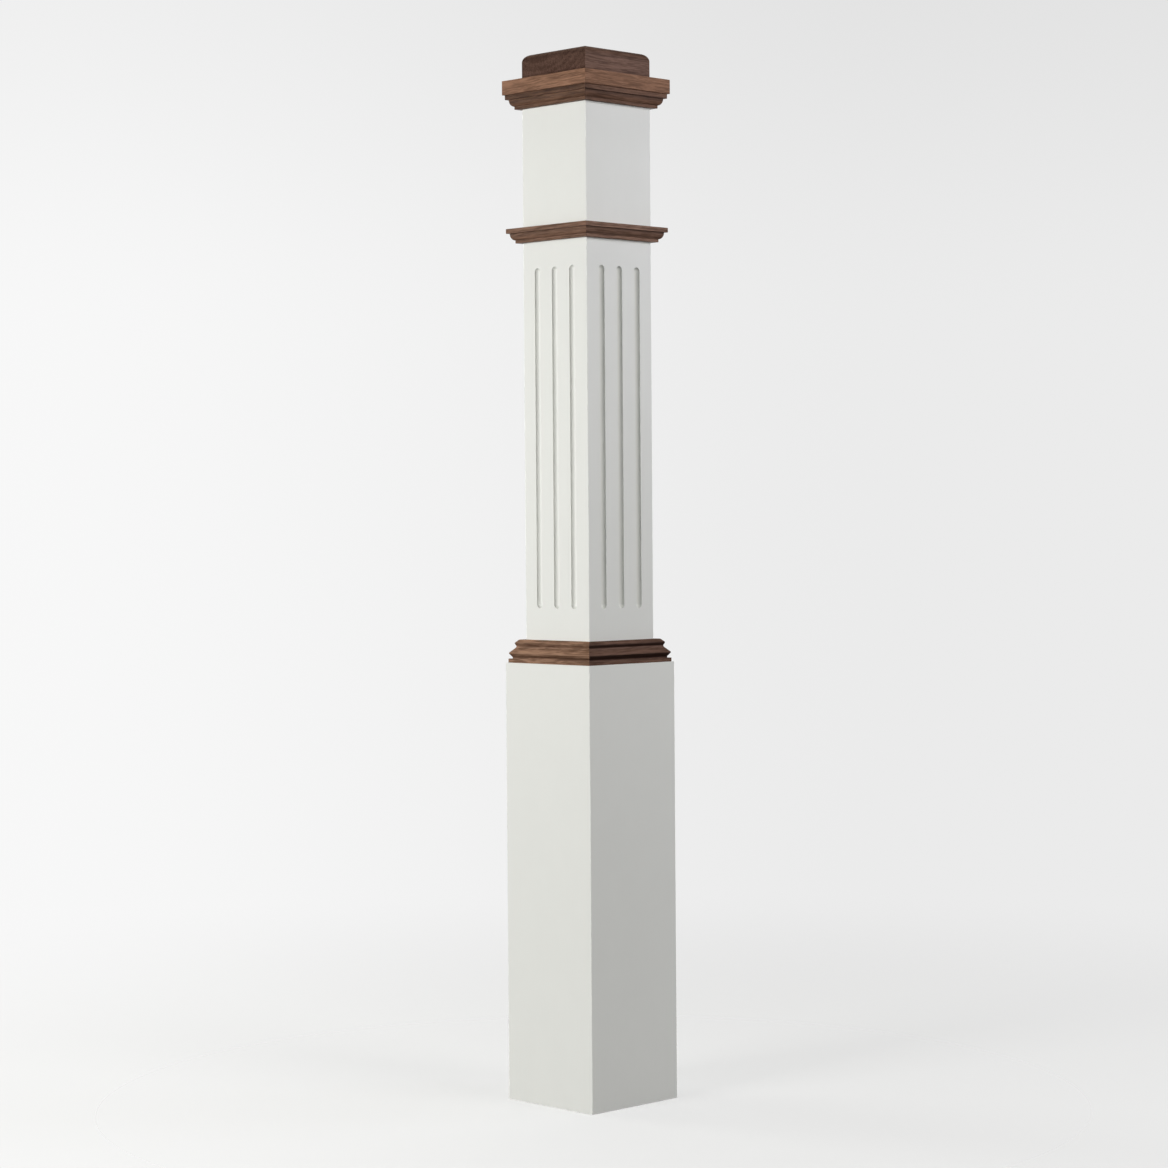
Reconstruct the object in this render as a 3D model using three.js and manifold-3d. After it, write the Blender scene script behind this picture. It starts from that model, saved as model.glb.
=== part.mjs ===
// Box newel post for the foot or landing of a stair, 1.62 m tall.
//
// The post is built as a joiner builds a box newel. Four mitred boards make the hollow shaft, with
// three stopped flutes in each face. Four thicker boards wrap its lower part as a plain box. Mitred
// mouldings finish the top of that box, the neck above the flutes and the top of the shaft, and a
// square slab and a rounded cap block close the shaft.
//
// Units are millimetres and +Z is up. The origin is the centre of the foot, on the floor.
import * as THREE from 'three';
import { mergeVertices } from 'three/addons/utils/BufferGeometryUtils.js';
import Module from 'manifold-3d';

// Gaps
const JOINT_GAP = 0.3; // between pieces that meet on a mitre or lie face to face
const MITRE_SETBACK = JOINT_GAP / Math.SQRT2; // of a mitred end, along the piece

// Shaft
const SHAFT_WIDTH = 139.7;
const SHAFT_BOARD = 19.05;
const SHAFT_HEIGHT = 1556.7;

// Flutes
const FLUTES_PER_FACE = 3;
const FLUTE_WIDTH = 12.7;
const FLUTE_SPACING = 38.1;
const FLUTE_BOTTOM = 764;
const FLUTE_TOP = 1288;
const FLUTE_SIDES = 24; // of the whole round cutter
const FLUTE_END_RINGS = 6;

// Lower box
const BOX_BOARD = 22.4;
const BOX_WIDTH = SHAFT_WIDTH + 2 * (JOINT_GAP + BOX_BOARD);
const BOX_HEIGHT = 679.6;

// Mouldings. Each reach is how far a line of the profile stands off the shaft's face, and each height
// is measured from the moulding's own underside.
const MOULDING_CURVE_STEPS = 6;
const CORNER_CURVE_STEPS = 4;

const BASE_CAP = {
  height: 35.5,
  footReach: 19.3,
  footHeight: 6,
  quirkReach: 14.6,
  quirkHeight: 8.2,
  noseReach: 19.3,
  noseHeight: 14.6,
  recessReach: 10.4,
  recessBottom: 23.6,
  recessTop: 25.4,
  beadReach: 12.8,
  beadHeight: 30.1,
  topReach: 7.3,
  noseEasing: 1.6,
  recessEasing: 2,
};

const SMALL_MOULDING = {
  height: 22.2,
  footReach: 8.1,
  footHeight: 4.6,
  ovoloReach: 14.3,
  filletBottom: 15,
  filletReach: 18.5,
};

const NECK_BOTTOM = 1328.3;
const CAP_MOULDING_BOTTOM = SHAFT_HEIGHT - SMALL_MOULDING.height;

// Slab and cap block
const SLAB_WIDTH = 183.8;
const SLAB_THICKNESS = 21.9;
const BLOCK_WIDTH = 139.6;
const BLOCK_THICKNESS = 40.2;
const BLOCK_ROUND_OVER = 12.3;
const BLOCK_CURVE_STEPS = 8;

// The plain panel between the neck and the cap, where a handrail lands
const RAIL_PANEL_BOTTOM = NECK_BOTTOM + SMALL_MOULDING.height;
const RAIL_PANEL_TOP = CAP_MOULDING_BOTTOM;

// Finishes
const whitePaint = new THREE.MeshStandardMaterial({ color: 0xe4e3dc, roughness: 0.42, metalness: 0 });
const darkWalnut = new THREE.MeshStandardMaterial({ color: 0x5c4434, roughness: 0.5, metalness: 0 });
const warmWalnut = new THREE.MeshStandardMaterial({ color: 0x7c5c45, roughness: 0.5, metalness: 0 });

// The four sides, each a quarter turn on from the front, which faces -Y.
const SIDES = ['front', 'right', 'back', 'left'];

const wasm = await Module();
wasm.setup();

/** A closed geometry as a solid that can be cut and joined. */
function solidOf(geometry) {
  const bare = geometry.index ? geometry.clone() : geometry;
  bare.deleteAttribute('normal');
  bare.deleteAttribute('uv');
  const merged = mergeVertices(bare, 1e-4);
  const corners = merged.index.array;
  const kept = [];
  for (let i = 0; i < corners.length; i += 3) {
    const [a, b, c] = [corners[i], corners[i + 1], corners[i + 2]];
    if (a !== b && b !== c && c !== a) kept.push(a, b, c);
  }
  const mesh = new wasm.Mesh({
    numProp: 3,
    vertProperties: new Float32Array(merged.attributes.position.array),
    triVerts: new Uint32Array(kept),
  });
  return new wasm.Manifold(mesh);
}

/** A solid back as a geometry. */
function geometryOf(solid) {
  const mesh = solid.getMesh();
  const geometry = new THREE.BufferGeometry();
  geometry.setAttribute('position', new THREE.BufferAttribute(mesh.vertProperties, 3));
  geometry.setIndex(new THREE.BufferAttribute(mesh.triVerts, 1));
  geometry.computeVertexNormals();
  return geometry;
}

/** The front board of a square box: outer face at -Y, both edges mitred to 45 degrees. */
function mitredBoard(boxWidth, thickness, height) {
  const outer = boxWidth / 2;
  const inner = outer - thickness;
  const section = new THREE.Shape([
    new THREE.Vector2(-outer + MITRE_SETBACK, -outer),
    new THREE.Vector2(outer - MITRE_SETBACK, -outer),
    new THREE.Vector2(inner - MITRE_SETBACK, -inner),
    new THREE.Vector2(-inner + MITRE_SETBACK, -inner),
  ]);
  return new THREE.ExtrudeGeometry(section, { depth: height, bevelEnabled: false });
}

/** A round-ended cutter that stands in the front board's face and leaves one half-round flute. */
function fluteCutter(offset) {
  const radius = FLUTE_WIDTH / 2;
  const straight = FLUTE_TOP - FLUTE_BOTTOM - FLUTE_WIDTH;
  const cutter = new THREE.CapsuleGeometry(radius, straight, FLUTE_END_RINGS, FLUTE_SIDES, 1);
  cutter.rotateX(Math.PI / 2);
  cutter.translate(offset, -SHAFT_WIDTH / 2, (FLUTE_TOP + FLUTE_BOTTOM) / 2);
  return cutter;
}

/** The front board of the shaft, cut with its flutes. */
function flutedBoard() {
  let board = solidOf(mitredBoard(SHAFT_WIDTH, SHAFT_BOARD, SHAFT_HEIGHT));
  for (let i = 0; i < FLUTES_PER_FACE; i += 1) {
    const offset = (i - (FLUTES_PER_FACE - 1) / 2) * FLUTE_SPACING;
    board = board.subtract(solidOf(fluteCutter(offset)));
  }
  return geometryOf(board);
}

/** A closed outline through corners [reach, height, easing], each corner eased by that length. */
function easedOutline(corners) {
  const path = new THREE.Shape();
  corners.forEach(([reach, height, easing = 0], i) => {
    const corner = new THREE.Vector2(reach, height);
    if (!easing) {
      if (i === 0) path.moveTo(reach, height);
      else path.lineTo(reach, height);
      return;
    }
    const [before, after] = [corners[i - 1], corners[i + 1]].map(([x, y]) => {
      const away = new THREE.Vector2(x, y).sub(corner);
      return corner.clone().addScaledVector(away.normalize(), easing);
    });
    path.lineTo(before.x, before.y);
    new THREE.QuadraticBezierCurve(before, corner, after)
      .getPoints(CORNER_CURVE_STEPS)
      .forEach((point) => path.lineTo(point.x, point.y));
  });
  return path;
}

/** The base cap's outline: foot, quirk, nose, long slope, recess, bead and a sloped top edge. */
function baseCapProfile(m) {
  return easedOutline([
    [0, 0],
    [m.footReach, 0],
    [m.footReach, m.footHeight],
    [m.quirkReach, m.footHeight],
    [m.quirkReach, m.quirkHeight],
    [m.noseReach, m.noseHeight, m.noseEasing],
    [m.recessReach, m.recessBottom, m.recessEasing],
    [m.recessReach, m.recessTop],
    [m.beadReach, m.beadHeight, m.noseEasing],
    [m.topReach, m.height],
    [0, m.height],
  ]);
}

/** The neck's and the cap's outline: a foot fillet, an ovolo and a square top fillet. */
function smallMouldingProfile(m) {
  const profile = new THREE.Shape();
  profile.moveTo(0, 0);
  profile.lineTo(m.footReach, 0);
  profile.lineTo(m.footReach, m.footHeight);
  profile.absellipse(
    m.footReach, m.filletBottom,
    m.ovoloReach - m.footReach, m.filletBottom - m.footHeight,
    -Math.PI / 2, 0, false,
  );
  profile.lineTo(m.filletReach, m.filletBottom);
  profile.lineTo(m.filletReach, m.height);
  profile.lineTo(0, m.height);
  return profile;
}

/** One front length of moulding round the shaft, its ends mitred to 45 degrees. */
function mitredMoulding(profile) {
  const length = SHAFT_WIDTH;
  const geometry = new THREE.ExtrudeGeometry(profile, {
    depth: length,
    curveSegments: MOULDING_CURVE_STEPS,
    bevelEnabled: false,
  });
  const position = geometry.attributes.position;
  for (let i = 0; i < position.count; i += 1) {
    const faceOffset = SHAFT_WIDTH / 2 + JOINT_GAP + position.getX(i);
    const end = position.getZ(i) > length / 2 ? -1 : 1;
    position.setXYZ(i, end * (faceOffset - MITRE_SETBACK), -faceOffset, position.getY(i));
  }
  geometry.computeVertexNormals();
  return geometry;
}

/** The square slab under the cap block. */
function slab() {
  return new THREE.BoxGeometry(SLAB_WIDTH, SLAB_WIDTH, SLAB_THICKNESS);
}

/** One run of the cap block's section, along Y, with its two upper edges rounded over. */
function roundedBar() {
  const half = BLOCK_WIDTH / 2;
  const bottom = -BLOCK_THICKNESS / 2;
  const spring = BLOCK_THICKNESS / 2 - BLOCK_ROUND_OVER;
  const section = new THREE.Shape();
  section.moveTo(-half, bottom);
  section.lineTo(half, bottom);
  section.lineTo(half, spring);
  section.absarc(half - BLOCK_ROUND_OVER, spring, BLOCK_ROUND_OVER, 0, Math.PI / 2, false);
  section.lineTo(-half + BLOCK_ROUND_OVER, BLOCK_THICKNESS / 2);
  section.absarc(-half + BLOCK_ROUND_OVER, spring, BLOCK_ROUND_OVER, Math.PI / 2, Math.PI, false);
  const bar = new THREE.ExtrudeGeometry(section, {
    depth: BLOCK_WIDTH,
    curveSegments: BLOCK_CURVE_STEPS,
    bevelEnabled: false,
  });
  bar.translate(0, 0, -BLOCK_WIDTH / 2);
  bar.rotateX(Math.PI / 2);
  return bar;
}

/** The cap block: the round-overs of its four upper edges meet on mitres at the corners. */
function capBlock() {
  const across = solidOf(roundedBar());
  const along = solidOf(roundedBar().rotateZ(Math.PI / 2));
  return geometryOf(across.intersect(along));
}

/** The point where an edge crosses a level, the same from whichever end it is asked. */
function crossing(from, to, level) {
  const [low, high] = from.z < to.z ? [from, to] : [to, from];
  return low.clone().lerp(high, (level - low.z) / (high.z - low.z)).setZ(level);
}

/** The same closed surface with its triangles divided along a level line. */
function scoredAt(geometry, level) {
  const position = geometry.toNonIndexed().attributes.position;
  const points = [];
  for (let i = 0; i < position.count; i += 3) {
    const triangle = [0, 1, 2].map((k) => new THREE.Vector3().fromBufferAttribute(position, i + k));
    for (const side of [1, -1]) {
      const part = [];
      triangle.forEach((from, k) => {
        const to = triangle[(k + 1) % 3];
        const [fromOff, toOff] = [side * (from.z - level), side * (to.z - level)];
        if (fromOff >= 0) part.push(from);
        if (fromOff * toOff < 0) part.push(crossing(from, to, level));
      });
      for (let k = 1; k + 1 < part.length; k += 1) points.push(part[0], part[k], part[k + 1]);
    }
  }
  const scored = new THREE.BufferGeometry().setFromPoints(points);
  scored.setIndex(points.map((_, i) => i));
  scored.computeVertexNormals();
  return scored;
}

/** The fluted board with the rail's landing kept as a face of its own. */
function shaftBoard() {
  return [RAIL_PANEL_BOTTOM, RAIL_PANEL_TOP].reduce(scoredAt, flutedBoard());
}

/** Four copies of a front piece, one on each side of the post, standing at one height. */
function aroundPost(name, geometry, material, bottom) {
  const group = new THREE.Group();
  SIDES.forEach((side, quarter) => {
    const mesh = new THREE.Mesh(geometry, material);
    mesh.name = `${name}_${side}`;
    mesh.position.z = bottom;
    mesh.rotation.z = (quarter * Math.PI) / 2;
    group.add(mesh);
  });
  return group;
}

/** One piece centred on the post's axis, its underside at the given height. */
function onAxis(name, geometry, material, bottom, thickness) {
  const mesh = new THREE.Mesh(geometry, material);
  mesh.name = name;
  mesh.position.z = bottom + thickness / 2;
  return mesh;
}

const smallMoulding = mitredMoulding(smallMouldingProfile(SMALL_MOULDING));
const baseCap = mitredMoulding(baseCapProfile(BASE_CAP));
const boxBoard = mitredBoard(BOX_WIDTH, BOX_BOARD, BOX_HEIGHT);

const newelPost = new THREE.Group();
newelPost.add(aroundPost('shaft', shaftBoard(), whitePaint, 0));
newelPost.add(aroundPost('lower_box', boxBoard, whitePaint, 0));
newelPost.add(aroundPost('base_cap', baseCap, warmWalnut, BOX_HEIGHT));
newelPost.add(aroundPost('neck_moulding', smallMoulding, darkWalnut, NECK_BOTTOM));
newelPost.add(aroundPost('cap_moulding', smallMoulding, darkWalnut, CAP_MOULDING_BOTTOM));
newelPost.add(onAxis('cap_slab', slab(), warmWalnut, SHAFT_HEIGHT, SLAB_THICKNESS));
newelPost.add(
  onAxis('cap_block', capBlock(), darkWalnut, SHAFT_HEIGHT + SLAB_THICKNESS, BLOCK_THICKNESS),
);

export default newelPost;
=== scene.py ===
"""A box newel post in white paint and walnut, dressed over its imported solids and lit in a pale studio.

Every piece stands where its solid stands. Lengths are metres, +Z is up, and the front of the post
faces -Y. The pieces of the four sides are modelled once, as the front one, and turned into place.
"""

from __future__ import annotations

import logging
import math
from dataclasses import dataclass, field
from enum import Enum
from typing import Callable, Iterable, Sequence

import bmesh
import bpy
from mathutils import Matrix, Vector

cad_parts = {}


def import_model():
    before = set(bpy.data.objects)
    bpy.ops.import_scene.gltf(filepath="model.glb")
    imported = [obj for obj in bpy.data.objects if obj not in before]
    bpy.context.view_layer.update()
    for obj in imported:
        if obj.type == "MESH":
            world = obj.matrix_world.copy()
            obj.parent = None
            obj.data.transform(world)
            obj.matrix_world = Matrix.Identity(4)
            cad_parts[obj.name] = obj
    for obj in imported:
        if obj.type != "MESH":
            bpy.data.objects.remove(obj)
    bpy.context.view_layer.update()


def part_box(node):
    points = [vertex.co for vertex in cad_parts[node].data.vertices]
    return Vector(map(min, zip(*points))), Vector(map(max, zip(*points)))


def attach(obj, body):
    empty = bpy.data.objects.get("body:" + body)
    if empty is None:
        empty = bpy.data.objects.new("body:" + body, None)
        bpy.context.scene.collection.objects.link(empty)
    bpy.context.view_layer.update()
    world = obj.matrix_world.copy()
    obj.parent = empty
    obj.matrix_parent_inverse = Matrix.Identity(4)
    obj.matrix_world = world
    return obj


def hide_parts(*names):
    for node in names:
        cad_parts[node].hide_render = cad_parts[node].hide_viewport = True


LOG = logging.getLogger("newel_post")

MM = 0.001
BODY = "root"
# the mesh value that holds painted shade (above zero) and painted highlight (below zero) for the walnut
RECESS = "recess"
# corners nearer than this are taken to be in the same place
TOUCHING = 1e-6

Colour = tuple[float, float, float]
Span = tuple[float, float]
Triple = tuple[float, float, float]
Outline = list[tuple[float, float]]


class Side(Enum):
    """A side of the post, with its quarter turns from the front."""

    FRONT = 0
    RIGHT = 1
    BACK = 2
    LEFT = 3

    @property
    def label(self) -> str:
        """The side's name as the solids spell it."""
        return self.name.lower()

    @property
    def angle(self) -> float:
        """The side's turn about +Z, in radians."""
        return self.value * math.pi / 2

    @property
    def turn(self) -> Matrix:
        """The exact matrix that carries a front piece to this side."""
        cosine = round(math.cos(self.angle))
        sine = round(math.sin(self.angle))
        return Matrix(((cosine, -sine, 0, 0), (sine, cosine, 0, 0), (0, 0, 1, 0), (0, 0, 0, 1)))


class Slot(Enum):
    """A material slot's name."""

    WHITE_PAINT = "white_paint"
    WARM_WALNUT = "warm_walnut"
    DARK_WALNUT = "dark_walnut"


class Grain(Enum):
    """The way a walnut piece's grain runs, as the turn about +Z that lays it along X."""

    ALONG_X = 0.0
    ALONG_Y = -math.pi / 2


# Mesh tools


def cut_flat(mesh: bmesh.types.BMesh, point: Vector, outward: Vector) -> None:
    """Cuts away what lies beyond a plane and closes the cut.

    Args:
        mesh: the solid to cut.
        point: a point on the plane.
        outward: the plane's normal, towards what is cut away.
    """
    everything = [*mesh.verts, *mesh.edges, *mesh.faces]
    cut = bmesh.ops.bisect_plane(
        mesh, geom=everything, dist=1e-7, plane_co=point, plane_no=outward, clear_outer=True
    )
    rim = [part for part in cut["geom_cut"] if isinstance(part, bmesh.types.BMEdge)]
    bmesh.ops.edgeloop_fill(mesh, edges=rim)


def cut_mitres(mesh: bmesh.types.BMesh, gap: float) -> None:
    """Mitres both ends of a front piece on the post's diagonals.

    Args:
        mesh: the piece, running past both diagonals.
        gap: how far each cut stays clear of its diagonal; below zero the piece laps over it.
    """
    for hand in (-1, 1):
        outward = Vector((hand, 1, 0)).normalized()
        cut_flat(mesh, -gap * outward, outward)


def score_level(mesh: bmesh.types.BMesh, height: float) -> None:
    """Scores a level line round a mesh, without cutting anything away."""
    bmesh.ops.bisect_plane(
        mesh,
        geom=[*mesh.verts, *mesh.edges, *mesh.faces],
        dist=TOUCHING,
        plane_co=Vector((0, 0, height)),
        plane_no=Vector((0, 0, 1)),
    )


def ease_edges(
    mesh: bmesh.types.BMesh,
    chosen: Callable[[bmesh.types.BMEdge], bool],
    width: float,
    segments: int,
) -> None:
    """Rounds the edges that a test picks.

    Args:
        mesh: the solid whose edges are rounded.
        chosen: says whether an edge is rounded.
        width: how far the rounding reaches from the edge.
        segments: the number of flats in the rounding.
    """
    bmesh.ops.bevel(
        mesh,
        geom=[edge for edge in mesh.edges if chosen(edge)],
        offset=width,
        offset_type="OFFSET",
        affect="EDGES",
        segments=segments,
        profile=0.5,
        material=-1,
        clamp_overlap=True,
    )


def runs_along(edge: bmesh.types.BMEdge, axis: int) -> bool:
    """Whether an edge lies along the X, Y or Z axis, numbered 0 to 2."""
    way = (edge.verts[0].co - edge.verts[1].co).normalized()
    return abs(way[axis]) > 0.999


def is_sharp(edge: bmesh.types.BMEdge, degrees: float) -> bool:
    """Whether an edge's two faces turn by more than some degrees."""
    return len(edge.link_faces) == 2 and edge.calc_face_angle(0.0) > math.radians(degrees)


def block(low: Vector, high: Vector) -> bmesh.types.BMesh:
    """A plain rectangular block between two corners, for the other tools to shape."""
    mesh = bmesh.new()
    bmesh.ops.create_cube(mesh, size=1)
    bmesh.ops.scale(mesh, vec=high - low, verts=mesh.verts)
    bmesh.ops.translate(mesh, vec=(low + high) / 2, verts=mesh.verts)
    return mesh


def as_object(name: str, mesh: bmesh.types.BMesh, smooth_below: float = 35.0) -> bpy.types.Object:
    """Turns a finished bmesh into an object at the origin.

    Args:
        name: the object's name.
        mesh: the solid, which is freed.
        smooth_below: faces that turn by fewer degrees than this are shaded as one surface.

    Returns:
        The linked object.
    """
    bmesh.ops.recalc_face_normals(mesh, faces=mesh.faces)
    for face in mesh.faces:
        face.smooth = True
    for edge in mesh.edges:
        edge.smooth = not is_sharp(edge, smooth_below)
    data = bpy.data.meshes.new(name)
    mesh.to_mesh(data)
    mesh.free()
    made = bpy.data.objects.new(name, data)
    bpy.context.scene.collection.objects.link(made)
    return made


def carve(piece: bpy.types.Object, cutter: bpy.types.Object) -> None:
    """Takes a cutter's shape out of a piece for good, and removes the cutter."""
    cut = piece.modifiers.new("carve", "BOOLEAN")
    cut.operation = "DIFFERENCE"
    cut.solver = "EXACT"
    cut.object = cutter
    graph = bpy.context.evaluated_depsgraph_get()
    carved = bpy.data.meshes.new_from_object(piece.evaluated_get(graph))
    piece.modifiers.remove(cut)
    plain = piece.data
    piece.data = carved
    bpy.data.meshes.remove(plain)
    bpy.data.meshes.remove(cutter.data)


def dress(
    piece: bpy.types.Object, node: str, materials: Iterable[bpy.types.Material]
) -> None:
    """Gives a piece its finish and sets it on the frame in its solid's place.

    Args:
        piece: the finished mesh object.
        node: the solid that it stands for.
        materials: its materials, in the order of its faces' numbers.
    """
    for material in materials:
        piece.data.materials.append(material)
    even = piece.modifiers.new("even_shading", "WEIGHTED_NORMAL")
    even.keep_sharp = True
    even.weight = 100
    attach(piece, BODY)
    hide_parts(node)
    LOG.info("%s stands for %s, %d faces", piece.name, node, len(piece.data.polygons))


# Shader tools


@dataclass
class Wiring:
    """Nodes and links of one node tree, laid out by short calls."""

    tree: bpy.types.NodeTree

    def node(self, kind: str, **settings: object) -> bpy.types.Node:
        """Adds a node.

        Args:
            kind: the node's Blender type.
            settings: its properties.

        Returns:
            The new node.
        """
        made = self.tree.nodes.new(kind)
        for name, value in settings.items():
            setattr(made, name, value)
        return made

    def feed(self, socket: bpy.types.NodeSocket, source: object) -> None:
        """Links another socket into a socket, or sets its plain value."""
        if isinstance(source, bpy.types.NodeSocket):
            self.tree.links.new(source, socket)
        else:
            socket.default_value = source

    def maths(self, operation: str, *terms: object) -> bpy.types.NodeSocket:
        """The result of a Math node on one to three terms."""
        made = self.node("ShaderNodeMath", operation=operation)
        for socket, term in zip(made.inputs, terms):
            self.feed(socket, term)
        return made.outputs[0]

    def vector(self, operation: str, *terms: object) -> bpy.types.NodeSocket:
        """The vector result of a Vector Math node."""
        made = self.node("ShaderNodeVectorMath", operation=operation)
        for socket, term in zip(made.inputs, terms):
            self.feed(socket, term)
        return made.outputs["Vector"]

    def measure(self, operation: str, *terms: object) -> bpy.types.NodeSocket:
        """The number that a Vector Math node gives, such as a length or a dot product."""
        made = self.node("ShaderNodeVectorMath", operation=operation)
        for socket, term in zip(made.inputs, terms):
            self.feed(socket, term)
        return made.outputs["Value"]

    def part(self, vector: object, axis: str) -> bpy.types.NodeSocket:
        """The X, Y or Z of a vector."""
        made = self.node("ShaderNodeSeparateXYZ")
        self.feed(made.inputs[0], vector)
        return made.outputs[axis]

    def mapped(self, place: object, kind: str, **settings: Triple) -> bpy.types.NodeSocket:
        """Coordinates or a direction put through a Mapping node.

        Args:
            place: the coordinates or the direction.
            kind: POINT for coordinates, VECTOR for a direction.
            settings: the node's location, rotation or scale.

        Returns:
            The mapped vector.
        """
        made = self.node("ShaderNodeMapping", vector_type=kind)
        self.feed(made.inputs["Vector"], place)
        for name, value in settings.items():
            made.inputs[name.capitalize()].default_value = value
        return made.outputs["Vector"]

    def bump(self, height: object, strength: float, distance: float) -> bpy.types.NodeSocket:
        """A normal tipped by a height over the surface."""
        made = self.node("ShaderNodeBump")
        made.inputs["Strength"].default_value = strength
        made.inputs["Distance"].default_value = distance
        self.feed(made.inputs["Height"], height)
        return made.outputs["Normal"]

    def noise(
        self, place: object, scale: object, detail: float, roughness: float = 0.5
    ) -> bpy.types.NodeSocket:
        """A noise value from 0 to 1 at a place.

        Args:
            place: the coordinates.
            scale: the features to a metre.
            detail: the octaves of finer noise.
            roughness: how strong the finer octaves are.

        Returns:
            The noise value.
        """
        made = self.node("ShaderNodeTexNoise")
        self.feed(made.inputs["Vector"], place)
        self.feed(made.inputs["Scale"], scale)
        made.inputs["Detail"].default_value = detail
        made.inputs["Roughness"].default_value = roughness
        return made.outputs["Fac"]

    def stretched(self, place: object, scale: tuple[float, float, float]) -> bpy.types.NodeSocket:
        """Coordinates scaled by their own amount along each axis."""
        return self.vector("MULTIPLY", place, Vector(scale))

    def remap(
        self, value: object, low: float, high: float, to_low: float = 0.0, to_high: float = 1.0
    ) -> bpy.types.NodeSocket:
        """A value taken smoothly from one range to another, and held at its ends."""
        made = self.node("ShaderNodeMapRange", interpolation_type="SMOOTHSTEP")
        limits = (value, low, high, to_low, to_high)
        for socket, term in zip(made.inputs, limits):
            self.feed(socket, term)
        return made.outputs["Result"]

    def blend(self, share: object, first: object, second: object) -> bpy.types.NodeSocket:
        """A colour mixed from two by a share from 0 to 1."""
        made = self.node("ShaderNodeMix", data_type="RGBA")
        self.feed(made.inputs["Factor"], share)
        self.feed(made.inputs["A"], first)
        self.feed(made.inputs["B"], second)
        return made.outputs["Result"]


def scaled(colour: Colour, shares: Triple) -> Colour:
    """A colour with each channel taken by its own share."""
    return tuple(channel * share for channel, share in zip(colour, shares))


def with_alpha(colour: Colour) -> tuple[float, float, float, float]:
    """A colour as a colour socket takes it."""
    return (*colour, 1.0)


def new_group(name: str, inputs: Sequence[tuple[str, str, object]], outputs: Sequence[tuple[str, str]]):
    """Starts a shader node group with named sockets.

    Args:
        name: the group's name.
        inputs: each input's name, socket type and starting value.
        outputs: each output's name and socket type.

    Returns:
        The group, a wiring on it, and its input and output nodes.
    """
    tree = bpy.data.node_groups.new(name, "ShaderNodeTree")
    for label, kind, start in inputs:
        socket = tree.interface.new_socket(label, in_out="INPUT", socket_type=kind)
        if start is not None:
            socket.default_value = start
    for label, kind in outputs:
        tree.interface.new_socket(label, in_out="OUTPUT", socket_type=kind)
    wiring = Wiring(tree)
    return tree, wiring, wiring.node("NodeGroupInput"), wiring.node("NodeGroupOutput")


def new_material(name: str) -> tuple[bpy.types.Material, Wiring, bpy.types.Node]:
    """Starts a material with an empty Principled BSDF.

    Returns:
        The material, a wiring on its tree, and the Principled node.
    """
    material = bpy.data.materials.new(name)
    material.use_nodes = True
    material.node_tree.nodes.clear()
    wiring = Wiring(material.node_tree)
    shader = wiring.node("ShaderNodeBsdfPrincipled")
    output = wiring.node("ShaderNodeOutputMaterial")
    wiring.feed(output.inputs["Surface"], shader.outputs["BSDF"])
    return material, wiring, shader


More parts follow.
